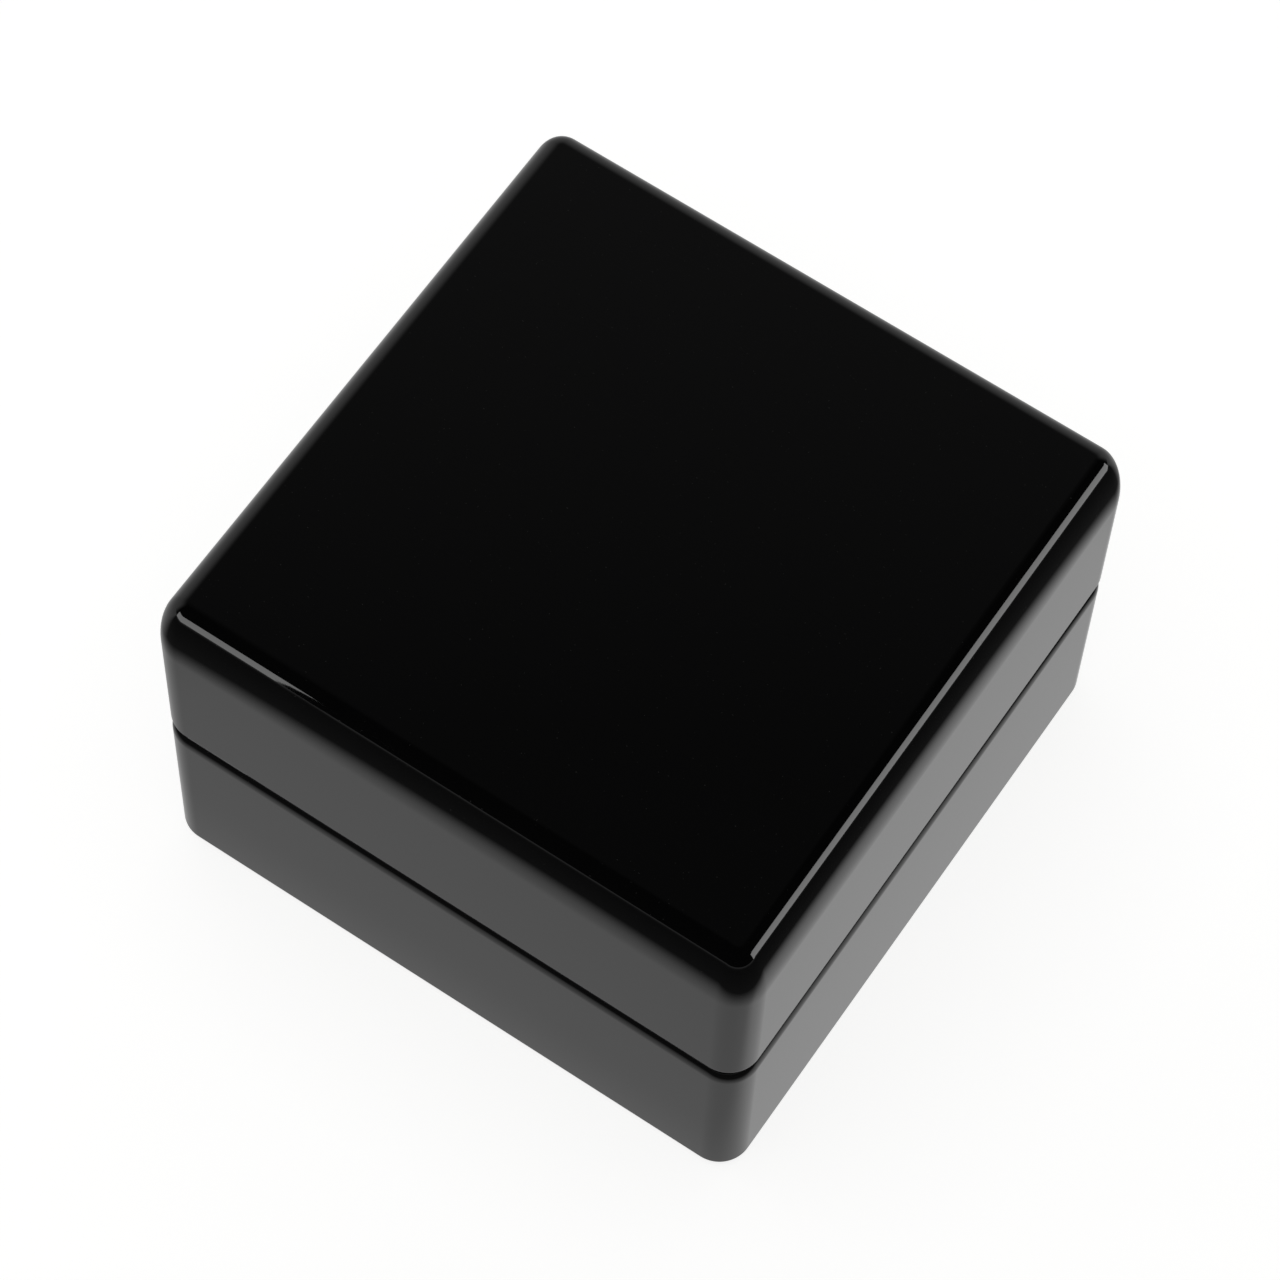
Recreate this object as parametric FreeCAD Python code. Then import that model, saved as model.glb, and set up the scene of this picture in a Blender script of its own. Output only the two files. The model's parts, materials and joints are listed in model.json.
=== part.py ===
"""Square presentation box in black lacquer, with a hinged lid and a fabric-lined inside.

Everything is in millimetres. The origin is the centre of the footprint on the surface that
the box stands on, which is the underside of its felt pad. +Z is up, the front is towards -Y,
and the hinges are at the back, towards +Y.
"""
import FreeCAD, Part
import math
import os

# Wooden body
WIDTH = 110.0                # side to side, along X
DEPTH = 110.0                # front to back, along Y
BASE_HEIGHT = 37.6           # base, from its bottom panel to its rim
LID_HEIGHT = 37.4            # lid, from its rim to its top
RIM_GAP = 0.2                # between the two rims when the lid is closed
CORNER_RADIUS = 5.5          # upright corners
TOP_DROP = 11.5              # height of the oval rounding of the lid's top edge
TOP_REACH_SHARE = 0.9        # its width, as a share of the corner radius
BASE_RIM_ROUND = 4.0         # outer edge of the base's rim
LID_RIM_ROUND = 0.4          # outer edge of the lid's rim
BOTTOM_ROUND = 0.8           # outer bottom edge of the base
BASE_WALL = 10.0             # thickness of the base's four walls
BOTTOM_PANEL = 6.0           # thickness of the base's bottom panel
TOP_PANEL = 8.0              # thickness of the lid's top panel

# Felt under the base
FELT_THICKNESS = 1.2
FELT_INSET = 4.0             # from the edge of the wood to the edge of the felt
FELT_CORNER_RADIUS = 3.0

# Fabric-covered linings
LINER = 2.0                  # thickness of the strips on the walls
LIP_HEIGHT = 2.5             # how far the base's strips stand above its rim
LIP_CLEARANCE = 0.5          # between those strips and the lid's walls
LINER_GAP = 0.6              # between the lid's strips and the top of the lip
FLOOR_LINING = 1.5           # thickness of the covered card on the bottom panel
LINING_CLEARANCE = 0.3       # round pieces that drop in between the strips

# Foam insert and cushion in the base
INSERT_HEIGHT = 20.0
INSERT_SIDE = 16.0           # width of the insert to the left and right of its pocket
INSERT_END = 8.0             # width of the insert in front of and behind its pocket
INSERT_CORNER_RADIUS = 1.0   # upright edges of the insert
CUSHION_CLEARANCE = 0.5      # between the cushion and its pocket
CUSHION_RISE = 4.0           # how far the cushion's top stands above the base's rim
CUSHION_ROUND = 10.0

# Padded panel in the lid
PAD_BOARD = 1.5              # thickness of the card behind the pad
PAD_THICKNESS = 5.0
PAD_INSET = 1.0              # from the edge of the card to the edge of the pad
PAD_ROUND = 2.4

# Hinges
HINGE_LENGTH = 20.0
HINGE_INSET = 18.0           # from the side of the box to the near end of a hinge
HINGE_AXIS_INSET = 2.0       # from the back of the box to the hinge axis
OPENING_ANGLE = 100.0        # degrees that the lid opens before its bevel meets the base's
STOP_CLEARANCE = 0.1         # left between the two bevels at that angle
BARREL_RADIUS = 1.6
BARREL_CLEARANCE = 0.25      # between the barrel and the wood
PIN_RADIUS = 0.8
PIN_CLEARANCE = 0.05         # running fit of the lid's knuckle on the pin, on the radius
KNUCKLES = 3                 # the first and last belong to the base's leaf
KNUCKLE_GAP = 0.15
LEAF_THICKNESS = 0.8
LEAF_LAND = 0.9              # wood left between a leaf and the inside of the lid's wall
MORTISE_CLEARANCE = 0.1      # round a leaf in its mortise

# Countersunk hinge screws
SCREW_SPACING = 12.0         # between the two screws of a leaf
SCREW_RADIUS = 0.8
SCREW_LENGTH = 6.5
SCREW_HEAD_RADIUS = 1.5
SCREW_HEAD_DEPTH = 0.6
SCREW_SLOT_WIDTH = 0.4
SCREW_SLOT_DEPTH = 0.3
PILOT_CLEARANCE = 0.05       # round the shank

# Disc magnets in the front rims
MAGNET_RADIUS = 2.5
MAGNET_THICKNESS = 2.5
MAGNET_CLEARANCE = 0.05      # round a magnet in its pocket
MAGNET_INSET = 28.0          # from the side of the box to a magnet's centre

# Heights and places that follow from the sizes above
LID_WALL = BASE_WALL - LIP_CLEARANCE
BASE_BOTTOM_Z = FELT_THICKNESS
BASE_RIM_Z = BASE_BOTTOM_Z + BASE_HEIGHT
AXIS_Z = BASE_RIM_Z + RIM_GAP / 2
LID_RIM_Z = BASE_RIM_Z + RIM_GAP
TOP_Z = LID_RIM_Z + LID_HEIGHT
TOP_REACH = TOP_REACH_SHARE * CORNER_RADIUS
FLOOR_Z = BASE_BOTTOM_Z + BOTTOM_PANEL
INSERT_Z = FLOOR_Z + FLOOR_LINING
CEILING_Z = TOP_Z - TOP_PANEL
AXIS_Y = DEPTH / 2 - HINGE_AXIS_INSET
HINGE_X = WIDTH / 2 - HINGE_INSET - HINGE_LENGTH / 2
BARREL_RECESS = BARREL_RADIUS + BARREL_CLEARANCE
LEAF_FRONT_Y = DEPTH / 2 - LID_WALL + LEAF_LAND
SCREW_Y = (LEAF_FRONT_Y + AXIS_Y - BARREL_RECESS) / 2
MAGNET_X = WIDTH / 2 - MAGNET_INSET
MAGNET_Y = (BASE_RIM_ROUND + LID_WALL) / 2 - DEPTH / 2
MARGIN = 5.0                 # by which a cutting shape reaches past what it cuts
TOLERANCE = 1e-6

SIDES = ("front", "back", "left", "right")
HINGES = {"left": -HINGE_X, "right": HINGE_X}
X_AXIS = FreeCAD.Vector(1, 0, 0)
Z_AXIS = FreeCAD.Vector(0, 0, 1)


def block(x_range, y_range, z_range):
    """A box between two limits along each axis."""
    size = [limits[1] - limits[0] for limits in (x_range, y_range, z_range)]
    return Part.makeBox(*size, FreeCAD.Vector(x_range[0], y_range[0], z_range[0]))


def centred_block(width, depth, z_range):
    """A box whose footprint is centred on the origin."""
    return block((-width / 2, width / 2), (-depth / 2, depth / 2), z_range)


def level_edges(shape, height):
    """The edges that lie wholly at one height."""
    return [edge for edge in shape.Edges
            if abs(edge.BoundBox.ZMin - height) < TOLERANCE
            and abs(edge.BoundBox.ZMax - height) < TOLERANCE]


def upright_edges(shape):
    """The straight edges that run along Z."""
    return [edge for edge in shape.Edges
            if edge.BoundBox.XLength < TOLERANCE and edge.BoundBox.YLength < TOLERANCE]


def rounded_block(width, depth, z_range, corner=0.0, top=0.0, bottom=0.0):
    """A centred box with rounded upright corners and rounded top and bottom edges.

    The largest radius goes first, so that the smaller ones can run round it.
    """
    shape = centred_block(width, depth, z_range)
    roundings = [(corner, upright_edges),
                 (top, lambda solid: level_edges(solid, z_range[1])),
                 (bottom, lambda solid: level_edges(solid, z_range[0]))]
    for radius, chosen_edges in sorted(roundings, key=lambda rounding: -rounding[0]):
        if radius:
            shape = shape.makeFillet(radius, chosen_edges(shape))
    return shape


def oval_profile(start, end, z_range):
    """Upright outline from the line at `start` out to `end`, with an oval upper outer edge.

    The edge is a quarter of an ellipse, TOP_REACH wide and TOP_DROP high.
    """
    low, high = z_range
    centre = FreeCAD.Vector(end - TOP_REACH, 0, high - TOP_DROP)
    above = centre + FreeCAD.Vector(0, 0, TOP_DROP)
    beside = centre + FreeCAD.Vector(TOP_REACH, 0, 0)
    oval = Part.Arc(Part.Ellipse(above, beside, centre), 0, math.pi / 2).toShape()
    corners = [beside, FreeCAD.Vector(end, 0, low), FreeCAD.Vector(start, 0, low),
               FreeCAD.Vector(start, 0, high), above]
    lines = [Part.makeLine(first, second) for first, second in zip(corners, corners[1:])]
    return Part.Face(Part.Wire(Part.__sortEdges__([oval] + lines)))


def oval_topped_block(width, depth, z_range, corner, bottom):
    """A centred box with rounded upright corners and an oval top edge all round.

    Each side is its profile drawn out along the side, and each corner is it turned round.
    """
    straight_x, straight_y = width / 2 - corner, depth / 2 - corner
    side_y = oval_profile(0, depth / 2, z_range)
    side_y.rotate(FreeCAD.Vector(), Z_AXIS, 90)
    side_y.translate(FreeCAD.Vector(-straight_x, 0, 0))
    side_x = oval_profile(0, width / 2, z_range)
    side_x.translate(FreeCAD.Vector(0, -straight_y, 0))
    back = side_y.extrude(FreeCAD.Vector(2 * straight_x, 0, 0))
    right = side_x.extrude(FreeCAD.Vector(0, 2 * straight_y, 0))
    post = oval_profile(0, corner, z_range).revolve(FreeCAD.Vector(), Z_AXIS, 360)
    parts = []
    for turn in (0, 180):
        for part in (back, right):
            turned = part.copy()
            turned.rotate(FreeCAD.Vector(), Z_AXIS, turn)
            parts.append(turned)
    for x in (-straight_x, straight_x):
        for y in (-straight_y, straight_y):
            placed = post.copy()
            placed.translate(FreeCAD.Vector(x, y, 0))
            parts.append(placed)
    shape = parts[0].fuse(parts[1:]).removeSplitter()
    return shape.makeFillet(bottom, level_edges(shape, z_range[0]))


def cylinder_along_x(radius, x_range):
    """A cylinder on the hinge axis."""
    start = FreeCAD.Vector(x_range[0], AXIS_Y, AXIS_Z)
    return Part.makeCylinder(radius, x_range[1] - x_range[0], start, X_AXIS)


def lid_copy(shape):
    """A base piece mirrored in the plane between the rims."""
    return shape.mirror(FreeCAD.Vector(0, 0, AXIS_Z), Z_AXIS)


def mitred_wall_space(side, wall):
    """The upright space of one wall, with 45-degree mitres at both of its ends."""
    half_width = WIDTH / 2
    half_depth = DEPTH / 2
    along_x = side in ("front", "back")
    half_length = half_width if along_x else half_depth
    outer = half_depth if along_x else half_width
    outline = [(-half_length - MARGIN, -outer - MARGIN), (half_length + MARGIN, -outer - MARGIN),
               (half_length - wall, -outer + wall), (-half_length + wall, -outer + wall)]
    points = [FreeCAD.Vector(x, y, -MARGIN) for x, y in outline]
    face = Part.Face(Part.makePolygon(points + points[:1]))
    space = face.extrude(Z_AXIS * (TOP_Z + 2 * MARGIN))
    turn = {"front": 0, "right": 90, "back": 180, "left": 270}[side]
    space.rotate(FreeCAD.Vector(0, 0, 0), Z_AXIS, turn)
    return space


def hinge_groove():
    """The V-shaped bevel along the whole back of the seam, which lets the lid swing down."""
    half_angle = math.radians(OPENING_ANGLE / 2)
    apex_y = AXIS_Y - STOP_CLEARANCE / 2 / math.sin(half_angle)
    back_y = DEPTH / 2 + MARGIN
    reach = (back_y - apex_y) * math.tan(half_angle)
    corners = [(apex_y, AXIS_Z), (back_y, AXIS_Z + reach), (back_y, AXIS_Z - reach)]
    points = [FreeCAD.Vector(-WIDTH / 2 - MARGIN, y, z) for y, z in corners]
    face = Part.Face(Part.makePolygon(points + points[:1]))
    return face.extrude(X_AXIS * (WIDTH + 2 * MARGIN))


def screw_places():
    """X and Y of every hinge screw in one rim."""
    places = []
    for centre_x in HINGES.values():
        for offset in (-SCREW_SPACING / 2, SCREW_SPACING / 2):
            places.append((centre_x + offset, SCREW_Y))
    return places


def magnet_places():
    """X and Y of both magnets in one rim."""
    return [(-MAGNET_X, MAGNET_Y), (MAGNET_X, MAGNET_Y)]


def upright_cylinder(place, radius, z_range):
    """A cylinder along Z over one place of the plan."""
    start = FreeCAD.Vector(place[0], place[1], z_range[0])
    return Part.makeCylinder(radius, z_range[1] - z_range[0], start, Z_AXIS)


def rim_cuts():
    """Everything that is cut into the base's rim for hinges, screws and magnets."""
    cuts = []
    for centre_x in HINGES.values():
        half_mortise = HINGE_LENGTH / 2 + MORTISE_CLEARANCE
        x_range = (centre_x - half_mortise, centre_x + half_mortise)
        y_range = (LEAF_FRONT_Y - MORTISE_CLEARANCE, AXIS_Y)
        cuts.append(block(x_range, y_range, (BASE_RIM_Z - LEAF_THICKNESS, AXIS_Z)))
        cuts.append(cylinder_along_x(BARREL_RECESS, x_range))
    pilot_z = (BASE_RIM_Z - SCREW_LENGTH, BASE_RIM_Z)
    for place in screw_places():
        cuts.append(upright_cylinder(place, SCREW_RADIUS + PILOT_CLEARANCE, pilot_z))
    pocket_z = (AXIS_Z - MAGNET_THICKNESS, AXIS_Z)
    for place in magnet_places():
        cuts.append(upright_cylinder(place, MAGNET_RADIUS + MAGNET_CLEARANCE, pocket_z))
    return cuts


def base_wood():
    """The base's bottom panel and its four mitred walls."""
    body = rounded_block(WIDTH, DEPTH, (BASE_BOTTOM_Z, BASE_RIM_Z),
                         CORNER_RADIUS, BASE_RIM_ROUND, BOTTOM_ROUND)
    floor_slab = centred_block(WIDTH, DEPTH, (BASE_BOTTOM_Z, FLOOR_Z))
    cavity = centred_block(WIDTH - 2 * BASE_WALL, DEPTH - 2 * BASE_WALL, (FLOOR_Z, TOP_Z))
    frame = body.cut([floor_slab, cavity, hinge_groove()] + rim_cuts())
    pieces = {"base_bottom_panel": body.common(floor_slab)}
    for side in SIDES:
        pieces[f"base_{side}_wall"] = frame.common(mitred_wall_space(side, BASE_WALL))
    return pieces


def lid_wood():
    """The lid's top panel and its four mitred walls."""
    body = oval_topped_block(WIDTH, DEPTH, (LID_RIM_Z, TOP_Z), CORNER_RADIUS, LID_RIM_ROUND)
    top_slab = centred_block(WIDTH, DEPTH, (CEILING_Z, TOP_Z))
    cavity = centred_block(WIDTH - 2 * LID_WALL, DEPTH - 2 * LID_WALL, (AXIS_Z, CEILING_Z))
    cuts = [top_slab, cavity, hinge_groove()] + [lid_copy(cut) for cut in rim_cuts()]
    frame = body.cut(cuts)
    pieces = {"lid_top_panel": body.common(top_slab)}
    for side in SIDES:
        pieces[f"lid_{side}_wall"] = frame.common(mitred_wall_space(side, LID_WALL))
    return pieces


def felt_pad():
    """The felt that the box stands on."""
    return rounded_block(WIDTH - 2 * FELT_INSET, DEPTH - 2 * FELT_INSET, (0, FELT_THICKNESS),
                         FELT_CORNER_RADIUS)


def liners(prefix, wall, z_range):
    """Four covered strips on the walls: the front and back ones run the full width."""
    half_width = WIDTH / 2 - wall
    half_depth = DEPTH / 2 - wall
    full_x = (-half_width, half_width)
    between_y = (-half_depth + LINER, half_depth - LINER)
    return {
        f"{prefix}_liner_front": block(full_x, (-half_depth, -half_depth + LINER), z_range),
        f"{prefix}_liner_back": block(full_x, (half_depth - LINER, half_depth), z_range),
        f"{prefix}_liner_left": block((-half_width, -half_width + LINER), between_y, z_range),
        f"{prefix}_liner_right": block((half_width - LINER, half_width), between_y, z_range),
    }


def base_filling():
    """The floor lining, the foam insert with its pocket, and the cushion in the pocket."""
    width = WIDTH - 2 * (BASE_WALL + LINER + LINING_CLEARANCE)
    depth = DEPTH - 2 * (BASE_WALL + LINER + LINING_CLEARANCE)
    pocket_width = width - 2 * INSERT_SIDE
    pocket_depth = depth - 2 * INSERT_END
    insert_z = (INSERT_Z, INSERT_Z + INSERT_HEIGHT)
    insert = rounded_block(width, depth, insert_z, INSERT_CORNER_RADIUS)
    pocket = rounded_block(pocket_width, pocket_depth, insert_z, INSERT_CORNER_RADIUS)
    cushion_width = pocket_width - 2 * CUSHION_CLEARANCE
    cushion_depth = pocket_depth - 2 * CUSHION_CLEARANCE
    cushion = rounded_block(cushion_width, cushion_depth, (INSERT_Z, BASE_RIM_Z + CUSHION_RISE),
                            CUSHION_ROUND, CUSHION_ROUND * 0.99, CUSHION_ROUND * 0.99)
    return {
        "floor_lining": centred_block(width, depth, (FLOOR_Z, INSERT_Z)),
        "insert_block": insert.cut(pocket),
        "cushion": cushion,
    }


def lid_filling():
    """The card and the pad under the lid's top panel."""
    width = WIDTH - 2 * (LID_WALL + LINER + LINING_CLEARANCE)
    depth = DEPTH - 2 * (LID_WALL + LINER + LINING_CLEARANCE)
    board_z = CEILING_Z - PAD_BOARD
    pad = rounded_block(width - 2 * PAD_INSET, depth - 2 * PAD_INSET,
                        (board_z - PAD_THICKNESS, board_z), PAD_ROUND, 0, PAD_ROUND * 0.99)
    return {
        "lid_pad_board": centred_block(width, depth, (board_z, CEILING_Z)),
        "lid_pad": pad,
    }


def knuckle_range(centre_x, index):
    """Where one knuckle of a hinge begins and ends along X."""
    pitch = HINGE_LENGTH / KNUCKLES
    start = centre_x - HINGE_LENGTH / 2 + index * pitch
    return (start + KNUCKLE_GAP / 2, start + pitch - KNUCKLE_GAP / 2)


def hinge_leaf(centre_x, knuckles, bore_radius):
    """A leaf let into the base's rim, with its own knuckles and two countersunk holes."""
    half_length = HINGE_LENGTH / 2
    leaf_z = (BASE_RIM_Z - LEAF_THICKNESS, BASE_RIM_Z)
    web_y = AXIS_Y - BARREL_RADIUS - KNUCKLE_GAP
    plate = block((centre_x - half_length, centre_x + half_length),
                  (LEAF_FRONT_Y, web_y), leaf_z)
    parts = []
    for index in knuckles:
        x_range = knuckle_range(centre_x, index)
        parts.append(block(x_range, (web_y, AXIS_Y), leaf_z))
        parts.append(cylinder_along_x(BARREL_RADIUS, x_range))
    bore = cylinder_along_x(bore_radius, (centre_x - half_length, centre_x + half_length))
    holes = [screw_blank(place) for place in screw_places()]
    return plate.fuse(parts).removeSplitter().cut([bore] + holes)


def screw_blank(place):
    """A countersunk head and shank, flush with the base's rim."""
    head_bottom = BASE_RIM_Z - SCREW_HEAD_DEPTH
    start = FreeCAD.Vector(place[0], place[1], head_bottom)
    head = Part.makeCone(SCREW_RADIUS, SCREW_HEAD_RADIUS, SCREW_HEAD_DEPTH, start, Z_AXIS)
    shank = upright_cylinder(place, SCREW_RADIUS, (BASE_RIM_Z - SCREW_LENGTH, head_bottom))
    return head.fuse(shank)


def screw(place):
    """A hinge screw with a driver slot."""
    half_slot = SCREW_SLOT_WIDTH / 2
    slot = block((place[0] - SCREW_HEAD_RADIUS, place[0] + SCREW_HEAD_RADIUS),
                 (place[1] - half_slot, place[1] + half_slot),
                 (BASE_RIM_Z - SCREW_SLOT_DEPTH, BASE_RIM_Z + MARGIN))
    return screw_blank(place).cut(slot)


def hinges():
    """Both hinges: leaves, pins and screws."""
    pieces = {}
    base_knuckles = range(0, KNUCKLES, 2)
    lid_knuckles = range(1, KNUCKLES, 2)
    for name, centre_x in HINGES.items():
        pin_range = (centre_x - HINGE_LENGTH / 2, centre_x + HINGE_LENGTH / 2)
        lid_leaf = hinge_leaf(centre_x, lid_knuckles, PIN_RADIUS + PIN_CLEARANCE)
        pieces[f"hinge_{name}_base_leaf"] = hinge_leaf(centre_x, base_knuckles, PIN_RADIUS)
        pieces[f"hinge_{name}_lid_leaf"] = lid_copy(lid_leaf)
        pieces[f"hinge_{name}_pin"] = cylinder_along_x(PIN_RADIUS, pin_range)
    screws = Part.makeCompound([screw(place) for place in screw_places()])
    pieces["base_hinge_screws"] = screws
    pieces["lid_hinge_screws"] = lid_copy(screws)
    return pieces


def magnets():
    """Two discs in each front rim, which meet when the lid is closed."""
    z_range = (AXIS_Z - MAGNET_THICKNESS, AXIS_Z)
    discs = [upright_cylinder(place, MAGNET_RADIUS, z_range) for place in magnet_places()]
    group = Part.makeCompound(discs)
    return {"base_magnets": group, "lid_magnets": lid_copy(group)}


def all_pieces():
    """Every piece of the box by its name."""
    pieces = {"felt_pad": felt_pad()}
    pieces.update(base_wood())
    pieces.update(lid_wood())
    pieces.update(liners("base", BASE_WALL, (FLOOR_Z, BASE_RIM_Z + LIP_HEIGHT)))
    pieces.update(liners("lid", LID_WALL, (BASE_RIM_Z + LIP_HEIGHT + LINER_GAP, CEILING_Z)))
    pieces.update(base_filling())
    pieces.update(lid_filling())
    pieces.update(hinges())
    pieces.update(magnets())
    return pieces


os.makedirs("parts", exist_ok=True)
for node, shape in all_pieces().items():
    shape.exportStep(f"parts/{node}.step")
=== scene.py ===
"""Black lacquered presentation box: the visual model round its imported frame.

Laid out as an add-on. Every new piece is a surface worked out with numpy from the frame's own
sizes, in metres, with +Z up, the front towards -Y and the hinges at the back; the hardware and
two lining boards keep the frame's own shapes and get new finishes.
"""
import json
import math

import bmesh
import bpy
import numpy as np
from mathutils import Matrix, Vector


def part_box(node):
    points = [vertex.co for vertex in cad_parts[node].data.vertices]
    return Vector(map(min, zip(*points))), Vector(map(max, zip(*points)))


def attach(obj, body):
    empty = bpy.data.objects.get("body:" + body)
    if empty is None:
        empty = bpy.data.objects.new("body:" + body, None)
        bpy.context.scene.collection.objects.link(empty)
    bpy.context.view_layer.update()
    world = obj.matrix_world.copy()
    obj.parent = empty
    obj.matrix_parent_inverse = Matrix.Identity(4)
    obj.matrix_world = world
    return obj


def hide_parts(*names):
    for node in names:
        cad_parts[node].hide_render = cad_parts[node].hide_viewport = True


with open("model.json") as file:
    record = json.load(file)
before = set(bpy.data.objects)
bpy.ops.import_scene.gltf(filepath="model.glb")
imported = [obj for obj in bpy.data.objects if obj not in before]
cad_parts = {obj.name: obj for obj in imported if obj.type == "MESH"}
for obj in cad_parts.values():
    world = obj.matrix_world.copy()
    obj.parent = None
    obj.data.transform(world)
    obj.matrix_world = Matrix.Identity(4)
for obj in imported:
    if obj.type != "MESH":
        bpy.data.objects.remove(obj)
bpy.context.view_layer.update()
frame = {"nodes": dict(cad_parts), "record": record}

bl_info = {
    "name": "Lacquered Presentation Box",
    "version": (1, 0, 0),
    "blender": (4, 5, 0),
    "location": "View3D > Sidebar > Box",
    "description": "Builds the shells, linings, padding, hardware and stage of a lacquered box",
    "category": "Object",
}

MM = 0.001

# Heights and thicknesses read from the frame
BASE_LOW, BASE_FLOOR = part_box("base_bottom_panel")
LID_CEILING, LID_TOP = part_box("lid_top_panel")
BASE_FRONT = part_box("base_front_wall")
LID_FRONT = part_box("lid_front_wall")
HALF = np.array([LID_TOP.x, LID_TOP.y])
BASE_RIM_Z = BASE_FRONT[1].z
LID_RIM_Z = LID_FRONT[0].z
BASE_WALL = BASE_FRONT[1].y - BASE_FRONT[0].y
LID_WALL = LID_FRONT[1].y - LID_FRONT[0].y
LID_JOINT = frame["record"]["behaviour"]["joints"][0]
AXIS_Y, AXIS_Z = LID_JOINT["pos_m"][1:]
OPENING_ANGLE = math.radians(LID_JOINT["range_deg"][1])

WALL_SIDES = ("front", "back", "left", "right")
HINGE_SIDES = ("left", "right")


# ---------------------------------------------------------------- settings

class ShellSettings(bpy.types.PropertyGroup):
    """Edges of the two lacquered shells."""
    corner: bpy.props.FloatProperty(
        name="Corner radius", description="Radius of the upright corners",
        default=5.5 * MM, unit="LENGTH")
    top_reach: bpy.props.FloatProperty(
        name="Top reach", description="Width of the oval rounding of the lid's top edge",
        default=4.95 * MM, unit="LENGTH")
    top_drop: bpy.props.FloatProperty(
        name="Top drop", description="Height of the oval rounding of the lid's top edge",
        default=11.5 * MM, unit="LENGTH")
    base_rim_round: bpy.props.FloatProperty(
        name="Base rim round", description="Radius of the outer edge of the base's rim",
        default=4.0 * MM, unit="LENGTH")
    lid_rim_round: bpy.props.FloatProperty(
        name="Lid rim round", description="Radius of the outer edge of the lid's rim",
        default=0.4 * MM, unit="LENGTH")
    bottom_round: bpy.props.FloatProperty(
        name="Bottom round", description="Radius of the base's bottom edge",
        default=0.8 * MM, unit="LENGTH")
    inner_ease: bpy.props.FloatProperty(
        name="Inner ease", description="Radius of the inner edges of both rims",
        default=0.3 * MM, unit="LENGTH")


class LiningSettings(bpy.types.PropertyGroup):
    """Fabric-covered strips, insert and felt."""
    edge: bpy.props.FloatProperty(
        name="Strip edge", description="Radius of the fabric where it turns round a strip",
        default=0.9 * MM, unit="LENGTH")
    insert_edge: bpy.props.FloatProperty(
        name="Insert edge", description="Radius of the foam insert's soft edges",
        default=2.2 * MM, unit="LENGTH")
    insert_crown: bpy.props.FloatProperty(
        name="Insert crown", description="How far the insert's top swells between its edges",
        default=0.7 * MM, unit="LENGTH")
    felt_edge: bpy.props.FloatProperty(
        name="Felt edge", description="Radius of the felt's cut edge",
        default=0.35 * MM, unit="LENGTH")


class PaddingSettings(bpy.types.PropertyGroup):
    """Cushion and lid pad."""
    pressure: bpy.props.FloatProperty(
        name="Pressure", description="Air pressure that swells the fabric", default=4.0)
    cushion_swell: bpy.props.FloatProperty(
        name="Cushion swell", description="Most that a point of the cushion may move",
        default=3.2 * MM, unit="LENGTH")
    pad_swell: bpy.props.FloatProperty(
        name="Pad swell", description="Most that a point of the lid pad may move",
        default=1.3 * MM, unit="LENGTH")
    seam_depth: bpy.props.FloatProperty(
        name="Seam depth", description="How far the stitching draws the fabric in",
        default=0.8 * MM, unit="LENGTH")


class FinishSettings(bpy.types.PropertyGroup):
    """Colours of the finishes."""
    lacquer: bpy.props.FloatVectorProperty(
        name="Lacquer", description="Colour under the polished lacquer", subtype="COLOR",
        default=(0.0016, 0.0016, 0.0017))
    velvet: bpy.props.FloatVectorProperty(
        name="Velvet", description="Colour of the lining", subtype="COLOR",
        default=(0.72, 0.64, 0.51))
    felt: bpy.props.FloatVectorProperty(
        name="Felt", description="Colour of the felt underneath", subtype="COLOR",
        default=(0.014, 0.014, 0.016))
    brass: bpy.props.FloatVectorProperty(
        name="Brass", description="Colour of the plated hinges", subtype="COLOR",
        default=(0.83, 0.62, 0.30))
    nickel: bpy.props.FloatVectorProperty(
        name="Nickel", description="Colour of the plated magnets", subtype="COLOR",
        default=(0.68, 0.66, 0.62))


class StageSettings(bpy.types.PropertyGroup):
    """Camera, floor and lights."""
    azimuth: bpy.props.FloatProperty(
        name="Azimuth", description="Camera direction round the box, from the front",
        default=math.radians(31.15), subtype="ANGLE")
    elevation: bpy.props.FloatProperty(
        name="Elevation", description="Camera height above the horizon",
        default=math.radians(62.87), subtype="ANGLE")
    roll: bpy.props.FloatProperty(
        name="Roll", description="Turn of the camera about its own line of sight",
        default=math.radians(3.12), subtype="ANGLE")
    distance: bpy.props.FloatProperty(
        name="Distance", description="From the camera to the point that it aims at",
        default=0.7844, unit="LENGTH")
    aim_height: bpy.props.FloatProperty(
        name="Aim height", description="Height of that point above the base's bottom edge",
        default=33.0 * MM, unit="LENGTH")
    rise: bpy.props.FloatProperty(
        name="Rise", description="How far the camera is moved up in its own picture plane",
        default=2.18 * MM, unit="LENGTH")
    lens: bpy.props.FloatProperty(
        name="Lens", description="Focal length in millimetres", default=138.2)
    floor_glow: bpy.props.FloatProperty(
        name="Floor glow", description="Light that the lit white table gives by itself",
        default=0.85)
    fill_level: bpy.props.FloatProperty(
        name="Fill level", description="Brightness of the large overhead fill", default=0.9)


GROUPS = {
    "box_shell": ShellSettings,
    "box_lining": LiningSettings,
    "box_padding": PaddingSettings,
    "box_finish": FinishSettings,
    "box_stage": StageSettings,
}


# ---------------------------------------------------------------- surfaces

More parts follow.
